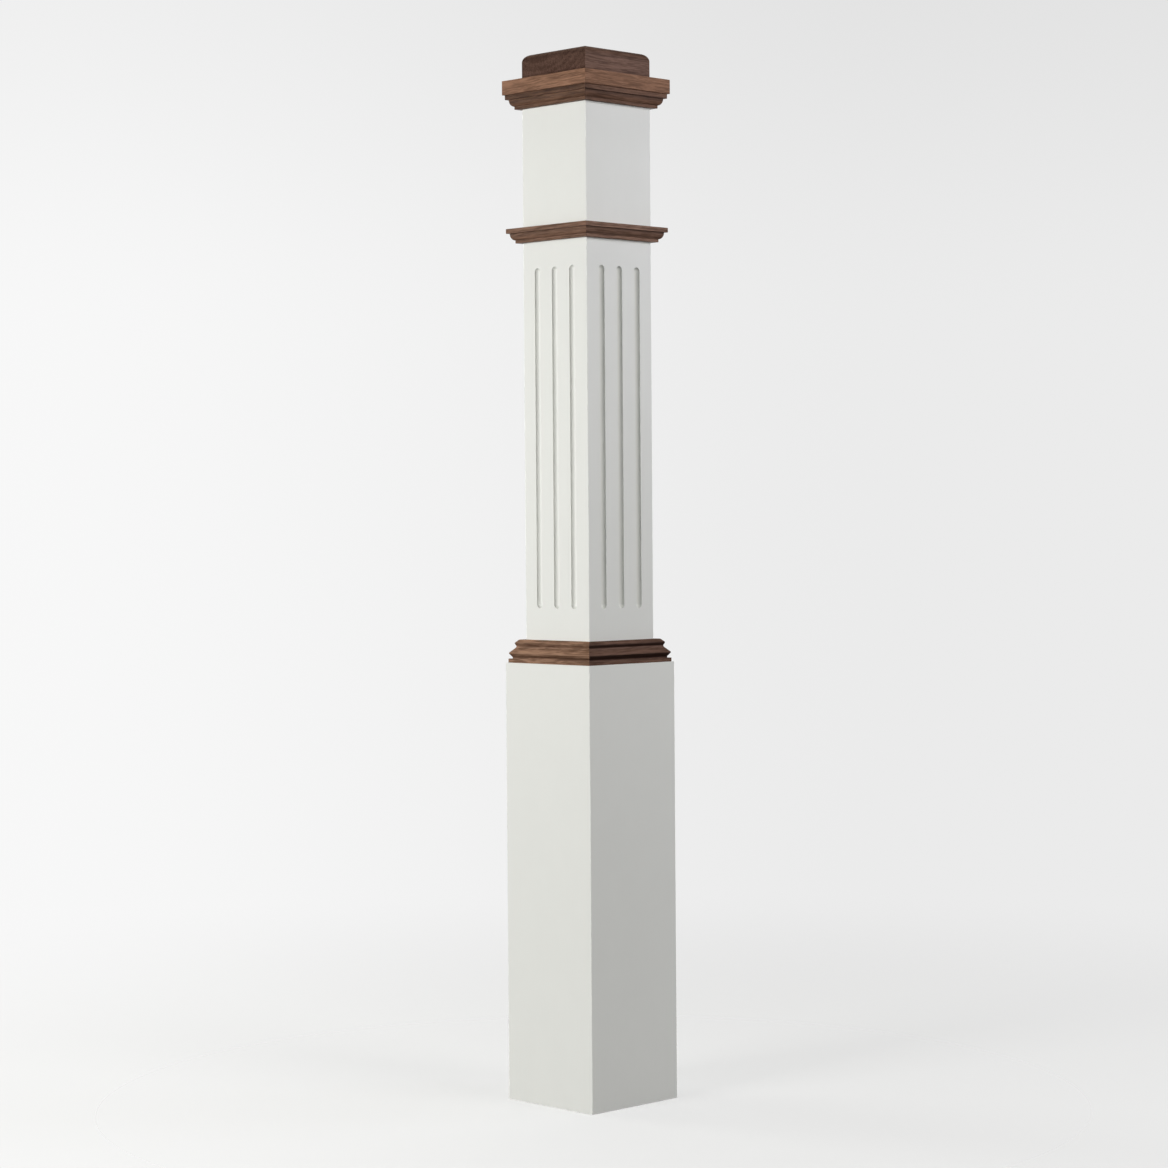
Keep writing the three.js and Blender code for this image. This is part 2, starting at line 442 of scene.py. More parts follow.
@dataclass(frozen=True)
class WalnutGrain:
    """The figure of sawn walnut as a node group: rings, fibres, pores, curl and slow colour drift, with
    painted shade and painted highlight laid over it.

    The group's coordinates have the grain along X and the heart of the tree on the X axis.
    """

    wander: float = 8 * MM
    streak_scale: Triple = (9.0, 230.0, 230.0)
    dash_scale: Triple = (38.0, 520.0, 520.0)
    pore_scale: Triple = (90.0, 2300.0, 2300.0)
    drift_scale: Triple = (6.0, 28.0, 28.0)
    curl_scale: Triple = (36.0, 60.0, 200.0)
    curl_slant: float = math.radians(28)
    streak_share: float = 0.42
    dash_share: float = 0.55
    drift_share: float = 0.25
    pore_share: float = 0.2
    end_ring_share: float = 0.12
    lightest: float = 0.25
    smoothest: float = 0.5
    streak_roughness: float = 0.12
    pore_roughness: float = 0.12
    end_roughness: float = 0.35

    def rings(
        self, wiring: Wiring, bent: bpy.types.NodeSocket, width: bpy.types.NodeSocket
    ) -> bpy.types.NodeSocket:
        """Growth rings: each darkens slowly outwards and ends sharply.

        Args:
            wiring: the group's wiring.
            bent: the coordinates after the grain's own waviness.
            width: how wide a year's growth is.

        Returns:
            The rings' darkness from 0 to 1.
        """
        radius = wiring.measure("LENGTH", wiring.stretched(bent, (0, 1, 1)))
        count = wiring.maths("DIVIDE", radius, width)
        apart = wiring.node("ShaderNodeCombineXYZ")
        wiring.feed(apart.inputs["X"], count)
        uneven = wiring.noise(apart.outputs["Vector"], 0.45, 1.0)
        phase = wiring.maths("FRACT", wiring.maths("MULTIPLY_ADD", uneven, 2.2, count))
        growth = wiring.remap(phase, 0.0, 0.8)
        return wiring.maths("SUBTRACT", growth, wiring.remap(phase, 0.82, 1.0))

    def bend(self, wiring: Wiring, place: bpy.types.NodeSocket) -> bpy.types.NodeSocket:
        """The coordinates moved across the grain by slow noise, so that no line is quite straight."""
        slow = wiring.node("ShaderNodeTexNoise")
        wiring.feed(slow.inputs["Vector"], wiring.stretched(place, (5.0, 16.0, 16.0)))
        slow.inputs["Scale"].default_value = 1.0
        slow.inputs["Detail"].default_value = 2.0
        centred = wiring.vector("SUBTRACT", slow.outputs["Color"], Vector((0.5, 0.5, 0.5)))
        return wiring.vector("ADD", place, wiring.stretched(centred, (0, self.wander, self.wander)))

    def curl(self, wiring: Wiring, place: bpy.types.NodeSocket) -> bpy.types.NodeSocket:
        """Slanting light and dark patches where the fibres dip in and out of the surface."""
        turn = (0.0, self.curl_slant, 0.0)
        slanted = wiring.mapped(place, "POINT", rotation=turn, scale=self.curl_scale)
        return wiring.remap(wiring.noise(slanted, 1.0, 2.0, 0.4), 0.37, 0.63)

    def build(self) -> bpy.types.NodeTree:
        """Builds the group.

        Returns:
            The node group, with the outputs Colour, Roughness and Height.
        """
        colour = "NodeSocketColor"
        number = "NodeSocketFloat"
        tree, wiring, given, result = new_group(
            "walnut_grain",
            [
                ("Place", "NodeSocketVector", None),
                ("Facing", "NodeSocketVector", None),
                ("Light", colour, with_alpha((0.2, 0.1, 0.06))),
                ("Dark", colour, with_alpha((0.05, 0.025, 0.015))),
                ("Stain", colour, with_alpha((0.012, 0.006, 0.004))),
                ("Rings", number, 0.3),
                ("Ring Width", number, 3 * MM),
                ("Curl", number, 0.0),
                ("End Shade", number, 0.4),
                ("Recess", number, 0.0),
            ],
            [("Colour", colour), ("Roughness", number), ("Height", number)],
        )
        place = given.outputs["Place"]
        bent = self.bend(wiring, place)
        streaks = wiring.noise(wiring.stretched(bent, self.streak_scale), 1.0, 4.0, 0.6)
        dashes = wiring.noise(wiring.stretched(bent, self.dash_scale), 1.0, 2.0, 0.6)
        pore_noise = wiring.noise(wiring.stretched(bent, self.pore_scale), 1.0, 0.0)
        drift = wiring.noise(wiring.stretched(place, self.drift_scale), 1.0, 2.0)
        pores = wiring.remap(pore_noise, 0.62, 0.74)

        endwise = wiring.maths("ABSOLUTE", wiring.part(given.outputs["Facing"], "X"))
        end_grain = wiring.remap(endwise, 0.6, 0.95)
        ring_share = wiring.maths(
            "MULTIPLY_ADD", end_grain, self.end_ring_share, given.outputs["Rings"]
        )
        rings = self.rings(wiring, bent, given.outputs["Ring Width"])

        shade = wiring.maths("MULTIPLY", rings, ring_share)
        layers = (
            (wiring.remap(streaks, 0.35, 0.65), self.streak_share),
            (wiring.remap(dashes, 0.38, 0.62), self.dash_share),
            (wiring.remap(drift, 0.33, 0.67), self.drift_share),
            (pores, self.pore_share),
            (self.curl(wiring, place), given.outputs["Curl"]),
        )
        for layer, share in layers:
            shade = wiring.maths("MULTIPLY_ADD", layer, share, shade)
        centred = wiring.maths("SUBTRACT", shade, self.lightest)
        limited = wiring.maths("MINIMUM", wiring.maths("MAXIMUM", centred, 0.0), 1.0)
        bare = wiring.blend(limited, given.outputs["Light"], given.outputs["Dark"])
        deep = wiring.maths("MULTIPLY", end_grain, given.outputs["End Shade"])
        toned = wiring.blend(deep, bare, given.outputs["Stain"])
        # painted shade: above zero the colour goes towards the dark shade colour; painted highlight:
        # below zero it goes towards the light wood
        recess = wiring.maths("MAXIMUM", given.outputs["Recess"], 0.0)
        stained = wiring.blend(recess, toned, given.outputs["Stain"])
        worn = wiring.maths("MAXIMUM", wiring.maths("MULTIPLY", given.outputs["Recess"], -1.0), 0.0)
        finished = wiring.blend(worn, stained, given.outputs["Light"])

        roughness = wiring.maths("MULTIPLY_ADD", streaks, self.streak_roughness, self.smoothest)
        rougher = wiring.maths("MULTIPLY_ADD", pores, self.pore_roughness, roughness)
        roughest = wiring.maths("MULTIPLY_ADD", end_grain, self.end_roughness, rougher)
        height = wiring.maths("MULTIPLY_ADD", dashes, 0.4, wiring.maths("SUBTRACT", 1.0, pores))
        wiring.feed(result.inputs["Colour"], finished)
        wiring.feed(result.inputs["Roughness"], roughest)
        wiring.feed(result.inputs["Height"], height)
        return tree


@dataclass(frozen=True)
class PaintFilm:
    """Sprayed and rolled satin paint on wood as a node group: peel, faint brush lines and mottle."""

    peel_size: float = 1.4 * MM
    brush_width: float = 1.1 * MM
    brush_length: float = 90 * MM
    mottle_size: float = 70 * MM
    brush_share: float = 0.35
    mottle_share: float = 0.65
    smoothest: float = 0.4
    mottle_roughness: float = 0.12

    def build(self) -> bpy.types.NodeTree:
        """Builds the group.

        Returns:
            The node group, with the outputs Colour, Roughness and Height.
        """
        colour = "NodeSocketColor"
        number = "NodeSocketFloat"
        tree, wiring, given, result = new_group(
            "paint_film",
            [
                ("Place", "NodeSocketVector", None),
                ("Tone", colour, with_alpha((0.8, 0.8, 0.8))),
                ("Shaded Tone", colour, with_alpha((0.75, 0.75, 0.75))),
            ],
            [("Colour", colour), ("Roughness", number), ("Height", number)],
        )
        place = given.outputs["Place"]
        brush_scale = (1 / self.brush_width, 1 / self.brush_width, 1 / self.brush_length)
        brush = wiring.noise(wiring.stretched(place, brush_scale), 1.0, 3.0, 0.6)
        peel = wiring.noise(place, 1 / self.peel_size, 2.0, 0.4)
        mottle = wiring.noise(place, 1 / self.mottle_size, 3.0, 0.55)
        lines = wiring.maths("MULTIPLY", wiring.remap(brush, 0.3, 0.7), self.brush_share)
        clouds = wiring.remap(mottle, 0.3, 0.7)
        shade = wiring.maths("MULTIPLY_ADD", clouds, self.mottle_share, lines)
        tone = wiring.blend(shade, given.outputs["Tone"], given.outputs["Shaded Tone"])
        roughness = wiring.maths(
            "MULTIPLY_ADD", mottle, self.mottle_roughness, self.smoothest
        )
        height = wiring.maths("MULTIPLY_ADD", brush, 0.6, wiring.maths("MULTIPLY", peel, 0.5))
        wiring.feed(result.inputs["Colour"], tone)
        wiring.feed(result.inputs["Roughness"], roughness)
        wiring.feed(result.inputs["Height"], height)
        return tree


@dataclass(frozen=True)
class WalnutFinish:
    """One piece of clear-finished walnut, with its own place in the tree.

    The heart is where the tree's middle lies, from the piece's own middle, across the grain.
    """

    name: str
    tone: Colour
    grain: Grain = Grain.ALONG_X
    turn: float = 0.0
    middle: tuple[float, float, float] = (0.0, 0.0, 0.0)
    heart: tuple[float, float] = (0.0, 0.08)
    start: float = 0.0
    lean: float = 0.0
    rings: float = 0.2
    ring_width: float = 3 * MM
    curl: float = 0.0
    end_shade: float = 0.45
    wraps: bool = False
    gloss: float = 0.12
    relief: float = 0.1 * MM
    relief_strength: float = 0.6
    light_shares: Triple = (1.42, 1.42, 1.42)
    dark_shares: Triple = (0.55, 0.5, 0.46)
    stain_shares: Triple = (0.11, 0.055, 0.04)

    @property
    def light(self) -> Colour:
        """The pale wood between the streaks."""
        return scaled(self.tone, self.light_shares)

    @property
    def dark(self) -> Colour:
        """The dark wood of the streaks, a little redder."""
        return scaled(self.tone, self.dark_shares)

    @property
    def stain(self) -> Colour:
        """The dark colour that painted shade and painted shadow go towards, and that end grain is
        darkened towards.
        """
        return scaled(self.tone, self.stain_shares)

    def lay_out(
        self, wiring: Wiring
    ) -> tuple[bpy.types.NodeSocket, bpy.types.NodeSocket | None]:
        """Turns the piece's coordinates and normals so that its grain runs along X.

        A piece that wraps has edges of long grain on all four sides, as a framed slab has.

        Returns:
            The coordinates from the heart, and the normal, which a piece that wraps hasn't.
        """
        source = wiring.node("ShaderNodeTexCoord")
        laid = self.grain.value - self.turn
        centred = wiring.vector("SUBTRACT", source.outputs["Object"], Vector(self.middle))
        along = wiring.mapped(
            centred,
            "POINT",
            rotation=(0.0, self.lean, laid),
            location=(self.start, -self.heart[0], -self.heart[1]),
        )
        facing = wiring.mapped(source.outputs["Normal"], "VECTOR", rotation=(0.0, 0.0, laid))
        if not self.wraps:
            return along, facing
        crossed = wiring.mapped(along, "POINT", rotation=(0.0, 0.0, math.pi / 2))
        endwise = wiring.maths("ABSOLUTE", wiring.part(facing, "X"))
        sideways = wiring.maths("GREATER_THAN", endwise, 0.7)
        wrapped = wiring.node("ShaderNodeMix", data_type="VECTOR")
        wiring.feed(wrapped.inputs["Factor"], sideways)
        wiring.feed(wrapped.inputs["A"], along)
        wiring.feed(wrapped.inputs["B"], crossed)
        return wrapped.outputs["Result"], None

    def material(self, grain: bpy.types.NodeTree) -> bpy.types.Material:
        """Makes the material.

        Args:
            grain: the shared walnut grain group.

        Returns:
            The piece's material.
        """
        material, wiring, shader = new_material(self.name)
        place, facing = self.lay_out(wiring)
        # reads the painted shade and painted highlight stored on the mesh's corners
        recess = wiring.node("ShaderNodeAttribute", attribute_name=RECESS)
        figure = wiring.node("ShaderNodeGroup", node_tree=grain)
        wiring.feed(figure.inputs["Place"], place)
        if facing:
            wiring.feed(figure.inputs["Facing"], facing)
        wiring.feed(figure.inputs["Recess"], recess.outputs["Fac"])
        settings = {
            "Light": with_alpha(self.light),
            "Dark": with_alpha(self.dark),
            "Stain": with_alpha(self.stain),
            "Rings": self.rings,
            "Ring Width": self.ring_width,
            "Curl": self.curl,
            "End Shade": self.end_shade,
        }
        for label, value in settings.items():
            figure.inputs[label].default_value = value
        normal = wiring.bump(figure.outputs["Height"], self.relief_strength, self.relief)
        wiring.feed(shader.inputs["Base Color"], figure.outputs["Colour"])
        wiring.feed(shader.inputs["Roughness"], figure.outputs["Roughness"])
        wiring.feed(shader.inputs["Normal"], normal)
        shader.inputs["Specular IOR Level"].default_value = self.gloss
        return material


@dataclass(frozen=True)
class PaintFinish:
    """Satin white paint, slightly warm."""

    name: str = "satin_white_paint"
    tone: Colour = (0.80, 0.805, 0.775)
    shaded_tone: Colour = (0.782, 0.787, 0.757)
    relief: float = 0.05 * MM
    relief_strength: float = 0.5

    def material(self, film: bpy.types.NodeTree) -> bpy.types.Material:
        """Makes the material.

        Args:
            film: the shared paint film group.

        Returns:
            The paint's material.
        """
        material, wiring, shader = new_material(self.name)
        source = wiring.node("ShaderNodeTexCoord")
        coat = wiring.node("ShaderNodeGroup", node_tree=film)
        wiring.feed(coat.inputs["Place"], source.outputs["Object"])
        coat.inputs["Tone"].default_value = with_alpha(self.tone)
        coat.inputs["Shaded Tone"].default_value = with_alpha(self.shaded_tone)
        normal = wiring.bump(coat.outputs["Height"], self.relief_strength, self.relief)
        wiring.feed(shader.inputs["Base Color"], coat.outputs["Colour"])
        wiring.feed(shader.inputs["Roughness"], coat.outputs["Roughness"])
        wiring.feed(shader.inputs["Normal"], normal)
        return material


@dataclass(frozen=True)
class BareWoodFinish:
    """The unpainted inner side of the boards, seen from under the post."""

    name: str = "bare_poplar"
    light: Colour = (0.56, 0.47, 0.31)
    dark: Colour = (0.36, 0.30, 0.17)
    relief: float = 0.15 * MM
    relief_strength: float = 0.5
    roughness: float = 0.75

    def material(self) -> bpy.types.Material:
        """Makes the material, with straight grain up the boards."""
        material, wiring, shader = new_material(self.name)
        source = wiring.node("ShaderNodeTexCoord")
        place = source.outputs["Object"]
        broad = wiring.noise(wiring.stretched(place, (60.0, 60.0, 2.5)), 1.0, 4.0, 0.6)
        fine = wiring.noise(wiring.stretched(place, (700.0, 700.0, 12.0)), 1.0, 2.0)
        shade = wiring.maths("MULTIPLY_ADD", fine, 0.35, wiring.maths("MULTIPLY", broad, 0.7))
        tone = wiring.blend(shade, with_alpha(self.light), with_alpha(self.dark))
        normal = wiring.bump(fine, self.relief_strength, self.relief)
        wiring.feed(shader.inputs["Base Color"], tone)
        wiring.feed(shader.inputs["Normal"], normal)
        shader.inputs["Roughness"].default_value = self.roughness
        return material


@dataclass
class Finishes:
    """Every shared finish, made once."""

    paint: bpy.types.Material = field(init=False)
    bare: bpy.types.Material = field(init=False)
    grain: bpy.types.NodeTree = field(init=False)

    def __post_init__(self) -> None:
        """Builds the node groups and the shared materials."""
        self.grain = WalnutGrain().build()
        self.paint = PaintFinish().material(PaintFilm().build())
        self.bare = BareWoodFinish().material()


# Painted boards


@dataclass
class BoardBox:
    """Four mitred boards that make a square painted box round the post's axis."""

    nodes: str
    piece: str
    arris: float = 1.1 * MM
    arris_flats: int = 6
    end_easing: float = 0.5 * MM
    lap: float = 0.02 * MM
    half: float = field(init=False)
    board: float = field(init=False)
    top: float = field(init=False)

    def __post_init__(self) -> None:
        """Reads the box's sizes from its front solid."""
        low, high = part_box(f"{self.nodes}_{Side.FRONT.label}")
        self.half = -low.y
        self.board = high.y - low.y
        self.top = high.z

    def front_board(self) -> bmesh.types.BMesh:
        """The front board, its outer arrises rounded up to the mitres."""
        corner = Vector((self.half, self.half, 0))
        mesh = block(-corner, corner + Vector((0, 0, self.top)))
        ease_edges(mesh, lambda edge: runs_along(edge, 2), self.arris, self.arris_flats)
        if self.end_easing:
            ease_edges(mesh, self.is_rim, self.end_easing, 2)
        cut_mitres(mesh, -self.lap)
        inner = Vector((0, self.board - self.half, 0))
        cut_flat(mesh, inner, Vector((0, 1, 0)))
        return mesh

    def is_rim(self, edge: bmesh.types.BMEdge) -> bool:
        """Whether an edge lies round the box's top or bottom."""
        return is_sharp(edge, 60) and edge.verts[0].co.z == edge.verts[1].co.z

    def show_bare_wood(self, mesh: bmesh.types.BMesh) -> None:
        """Gives the second material to a front board's unpainted faces."""
        for face in mesh.faces:
            if face.normal.y > 0.3 or face.normal.z < -0.9:
                face.material_index = 1

    def front_piece(self) -> bpy.types.Object:
        """The finished front board as an object."""
        mesh = self.front_board()
        bmesh.ops.recalc_face_normals(mesh, faces=mesh.faces)
        self.show_bare_wood(mesh)
        return as_object(self.piece, mesh)

    def build(self, finishes: Finishes) -> None:
        """Makes the four boards from the front one and dresses them."""
        front = self.front_piece()
        for side in Side:
            name = f"{self.piece}_{side.label}"
            data = front.data.copy()
            data.name = name
            data.transform(side.turn)
            piece = bpy.data.objects.new(name, data)
            bpy.context.scene.collection.objects.link(piece)
            materials = (finishes.paint, finishes.bare)
            dress(piece, f"{self.nodes}_{side.label}", materials)
        bpy.data.meshes.remove(front.data)


@dataclass
class FlutedShaft(BoardBox):
    """The shaft's boards, each with stopped, half-round flutes whose lips are eased."""

    end_easing: float = 0.0
    flutes: int = 3
    flute_radius: float = 6.35 * MM
    spacing: float = 38.1 * MM
    flute_bottom: float = 764 * MM
    flute_top: float = 1288 * MM
    lip: float = 0.7 * MM
    lip_flats: int = 3
    cutter_sides: int = 56
    cutter_rings: int = 29

    def cutter(self) -> bpy.types.Object:
        """Round-ended rods standing in the front face, one for each flute."""
        mesh = bmesh.new()
        reach = (self.flute_top - self.flute_bottom) / 2 - self.flute_radius
        for place in range(self.flutes):
            made = bmesh.ops.create_uvsphere(
                mesh,
                u_segments=self.cutter_sides,
                v_segments=self.cutter_rings,
                radius=self.flute_radius,
                matrix=Matrix.Rotation(math.pi / self.cutter_sides, 4, "Z"),
            )
            offset = (place - (self.flutes - 1) / 2) * self.spacing
            for corner in made["verts"]:
                corner.co.z += math.copysign(reach, corner.co.z)
            middle = Vector((offset, -self.half, (self.flute_top + self.flute_bottom) / 2))
            bmesh.ops.translate(mesh, vec=middle, verts=made["verts"])
        return as_object("flute_cutter", mesh)

    def is_lip(self, edge: bmesh.types.BMEdge) -> bool:
        """Whether an edge lies round a flute's mouth, on the front face."""
        on_face = all(abs(corner.co.y + self.half) < TOUCHING for corner in edge.verts)
        return on_face and is_sharp(edge, 50)

    def front_piece(self) -> bpy.types.Object:
        """The front board with its flutes cut and their lips eased."""
        plain = super().front_piece()
        carve(plain, self.cutter())
        mesh = bmesh.new()
        mesh.from_mesh(plain.data)
        bpy.data.meshes.remove(plain.data)
        bmesh.ops.remove_doubles(mesh, verts=mesh.verts, dist=TOUCHING)
        ease_edges(mesh, self.is_lip, self.lip, self.lip_flats)
        return as_object(self.piece, mesh)


# Walnut mouldings


@dataclass(frozen=True)
class Recess:
    """A place on a moulding's section where shade is painted into the wood's colour or, with a strength
    below zero, a highlight is painted.

    The effect is full within the core and fades out at the spread. It leaves out the moulding's
    front flats, which stand clear of every recess, unless it is said to reach them. Its strengths
    are those on the front and back lengths, and on the right and left ones.
    """

    reach: float
    height: float
    core: float
    spread: float
    strengths: tuple[float, float]
    reaches_front: bool = False

    def stain(self, out: float, up: float, side: Side, on_front: bool) -> float:
        """How strong the effect is at a point of the section, on a side's length."""
        if on_front and not self.reaches_front:
            return 0.0
        away = math.hypot(out - self.reach, up - self.height)
        share = (self.spread - away) / (self.spread - self.core)
        return self.strengths[side.value % 2] * min(1.0, max(0.0, share))


@dataclass
class Moulding:
    """Four mitred lengths of one moulding round the shaft."""

    nodes: str
    piece: str
    slot: Slot
    looks: dict[Side, WalnutFinish]
    # spots where shade or a highlight is painted into the walnut's colour
    recesses: tuple[Recess, ...] = ()
    scored: tuple[float, ...] = ()
    arris: float = 0.35 * MM
    gap: float = 0.04 * MM
    bottom: float = field(init=False)
    height: float = field(init=False)
    back: float = field(init=False)

    def __post_init__(self) -> None:
        """Reads where the moulding lies from its front solid."""
        low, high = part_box(f"{self.nodes}_{Side.FRONT.label}")
        self.bottom = low.z
        self.height = high.z - low.z
        self.back = -high.y

    def outline(self) -> Outline:
        """The section's corners, as reach from the shaft and height from the underside."""
        raise NotImplementedError

    def round_corners(self, mesh: bmesh.types.BMesh) -> None:
        """Rounds the section's own soft corners on the straight bar."""

    def score(self, mesh: bmesh.types.BMesh) -> None:
        """Scores lines along the bar's flats, so that painted shade or a painted highlight can fade out
        part way across one.
        """
        for height in self.scored:
            score_level(mesh, self.bottom + height)

    def mark_recesses(self, mesh: bmesh.types.BMesh, side: Side) -> None:
        """Stores on each face's corners of a front length how much painted shade, or below zero painted
        highlight, they get.

        Args:
            mesh: the front length, before it is turned to its side.
            side: the side that it is made for.
        """
        bmesh.ops.recalc_face_normals(mesh, faces=mesh.faces)
        furthest = max(-corner.co.y for corner in mesh.verts)
        layer = mesh.loops.layers.float.new(RECESS)
        for face in mesh.faces:
            is_outer = -face.calc_center_median().y > furthest - 0.2 * MM
            on_front = is_outer and face.normal.y < -0.95
            for loop in face.loops:
                out = -loop.vert.co.y - self.back
                up = loop.vert.co.z - self.bottom
                stains = [recess.stain(out, up, side, on_front) for recess in self.recesses]
                loop[layer] = max(stains, key=abs, default=0.0)

    def straight_bar(self) -> bmesh.types.BMesh:
        """The front length before mitring: the section drawn out along X."""
        outline = self.outline()
        reach = self.back + 2 * max(out for out, _ in outline)
        mesh = bmesh.new()
        corners = [
            mesh.verts.new((-reach, -self.back - out, self.bottom + up)) for out, up in outline
        ]
        section = mesh.faces.new(corners)
        drawn = bmesh.ops.extrude_face_region(mesh, geom=[section])
        moved = [part for part in drawn["geom"] if isinstance(part, bmesh.types.BMVert)]
        bmesh.ops.translate(mesh, vec=Vector((2 * reach, 0, 0)), verts=moved)
        bmesh.ops.recalc_face_normals(mesh, faces=mesh.faces)
        return mesh

    def front_length(self, side: Side) -> bmesh.types.BMesh:
        """A side's length as it lies in front, its arrises eased and its ends mitred."""
        mesh = self.straight_bar()
        self.round_corners(mesh)
        ease_edges(
            mesh, lambda edge: runs_along(edge, 0) and is_sharp(edge, 42), self.arris, 2
        )
        self.score(mesh)
        cut_mitres(mesh, self.gap)
        self.mark_recesses(mesh, side)
        return mesh

    def build(self, finishes: Finishes) -> None:
        """Makes and dresses the four lengths, each with its own walnut."""
        for side in Side:
            mesh = self.front_length(side)
            bmesh.ops.transform(mesh, matrix=side.turn, verts=mesh.verts)
            piece = as_object(f"{self.piece}_{side.label}", mesh)
            material = self.looks[side].material(finishes.grain)
            dress(piece, f"{self.nodes}_{side.label}", [material])


@dataclass
class SmallMoulding(Moulding):
    """The neck's and the cap's moulding: foot fillet, ovolo and square top fillet."""

    foot_reach: float = 8.1 * MM
    foot_height: float = 4.6 * MM
    ovolo_reach: float = 14.3 * MM
    fillet_bottom: float = 15 * MM
    fillet_reach: float = 18.5 * MM
    ovolo_steps: int = 14

    def outline(self) -> Outline:
        """The section's corners, the ovolo as a quarter ellipse."""
        swell = self.ovolo_reach - self.foot_reach
        rise = self.fillet_bottom - self.foot_height
        ovolo = []
        for step in range(self.ovolo_steps + 1):
            turn = math.pi / 2 * step / self.ovolo_steps
            out = self.foot_reach + swell * math.sin(turn)
            ovolo.append((out, self.fillet_bottom - rise * math.cos(turn)))
        return [
            (0, 0),
            (self.foot_reach, 0),
            *ovolo,
            (self.fillet_reach, self.fillet_bottom),
            (self.fillet_reach, self.height),
            (0, self.height),
        ]


@dataclass
class BaseCap(Moulding):
    """The base cap's moulding: foot, quirk, nose, long slope, recess, bead and sloped top."""

    foot_reach: float = 19.3 * MM
    foot_height: float = 6 * MM
    quirk_reach: float = 14.6 * MM
    quirk_height: float = 8.2 * MM
    nose_reach: float = 19.3 * MM
    nose_height: float = 14.6 * MM
    recess_reach: float = 10.4 * MM
    recess_bottom: float = 23.6 * MM
    recess_top: float = 25.4 * MM
    bead_reach: float = 12.8 * MM
    bead_height: float = 30.1 * MM
    top_reach: float = 7.3 * MM
    nose_easing: float = 1.6 * MM
    recess_easing: float = 2 * MM

    def outline(self) -> Outline:
        """The section's corners, before the soft ones are rounded."""
        return [
            (0, 0),
            (self.foot_reach, 0),
            (self.foot_reach, self.foot_height),
            (self.quirk_reach, self.foot_height),
            (self.quirk_reach, self.quirk_height),
            (self.nose_reach, self.nose_height),
            (self.recess_reach, self.recess_bottom),
            (self.recess_reach, self.recess_top),
            (self.bead_reach, self.bead_height),
            (self.top_reach, self.height),
            (0, self.height),
        ]

    def lies_at(self, edge: bmesh.types.BMEdge, height: float) -> bool:
        """Whether a long edge lies at a height over the moulding's underside."""
        level = self.bottom + height
        return runs_along(edge, 0) and abs(edge.verts[0].co.z - level) < TOUCHING

    def round_corners(self, mesh: bmesh.types.BMesh) -> None:
        """Rounds the nose, the bead and the foot of the recess."""
        for height in (self.nose_height, self.bead_height):
            ease_edges(mesh, lambda edge: self.lies_at(edge, height), self.nose_easing, 6)
        ease_edges(mesh, lambda edge: self.lies_at(edge, self.recess_bottom), self.recess_easing, 6)


# Walnut cap


@dataclass
class CapSlab:
    """The square slab that closes the shaft."""

    look: WalnutFinish
    node: str = "cap_slab"
    piece: str = "walnut_slab"
    arris: float = 0.5 * MM

    def build(self, finishes: Finishes) -> None:
        """Makes the slab with eased arrises and dresses it."""
        mesh = block(*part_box(self.node))
        ease_edges(mesh, lambda edge: is_sharp(edge, 60), self.arris, 3)
        slab = as_object(self.piece, mesh)
        dress(slab, self.node, [self.look.material(finishes.grain)])


@dataclass
class CapBlock:
    """The thick block on the slab, rounded over along its four upper edges."""

    look: WalnutFinish
    node: str = "cap_block"
    piece: str = "walnut_cap_block"
    round_over: float = 12.3 * MM
    flats: int = 16
    arris: float = 0.4 * MM
    # painted shade on the round-over and top, and a painted shadow along the foot of front and back
    top_stain: float = 0.35
    foot_stain: float = 0.6
    foot_core: float = 3 * MM
    foot_fade: float = 8 * MM
    top_rise: float = 2.5

    def mark_stain(self, mesh: bmesh.types.BMesh, low: Vector, high: Vector) -> None:
        """Stores how much painted shade each corner gets: on the round-over and top, and as a painted
        shadow at the foot of front and back.

        Args:
            mesh: the block.
            low: the block's lowest corner.
            high: the block's highest corner.
        """
        for height in (self.foot_core, self.foot_fade):
            score_level(mesh, low.z + height)
        layer = mesh.verts.layers.float.new(RECESS)
        for corner in mesh.verts:
            climb = (corner.co.z - high.z) / self.round_over + 1
            fade = (low.z + self.foot_fade - corner.co.z) / (self.foot_fade - self.foot_core)
            on_front_or_back = min(corner.co.y - low.y, high.y - corner.co.y) < TOUCHING
            foot = self.foot_stain * min(1.0, max(0.0, fade)) if on_front_or_back else 0.0
            top = self.top_stain * min(1.0, max(0.0, self.top_rise * climb))
            corner[layer] = max(foot, top)

    def build(self, finishes: Finishes) -> None:
        """Makes the block, its round-overs meeting on mitres, and dresses it."""
        low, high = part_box(self.node)
        mesh = block(low, high)
        ease_edges(
            mesh,
            lambda edge: all(abs(corner.co.z - high.z) < TOUCHING for corner in edge.verts),
            self.round_over,
            self.flats,
        )
        ease_edges(mesh, lambda edge: is_sharp(edge, 20), self.arris, 2)
        self.mark_stain(mesh, low, high)
        cap = as_object(self.piece, mesh)
        dress(cap, self.node, [self.look.material(finishes.grain)])


# Studio


@dataclass(frozen=True)
class SoftBox:
    """A rectangular studio light that faces the post."""

    name: str
    place: tuple[float, float, float]
    aim: tuple[float, float, float]
    size: tuple[float, float]
    power: float
    colour: Colour = (1.0, 1.0, 1.0)

    def build(self) -> bpy.types.Object:
        """Hangs the light.

        Returns:
            The light's object.
        """
        lamp = bpy.data.lights.new(self.name, "AREA")
        lamp.shape = "RECTANGLE"
        lamp.size, lamp.size_y = self.size
        lamp.energy = self.power
        lamp.color = self.colour
        made = bpy.data.objects.new(self.name, lamp)
        made.location = self.place
        way = Vector(self.aim) - Vector(self.place)
        made.rotation_mode = "QUATERNION"
        made.rotation_quaternion = way.to_track_quat("-Z", "Y")
        made.visible_camera = False
        bpy.context.scene.collection.objects.link(made)
        return made


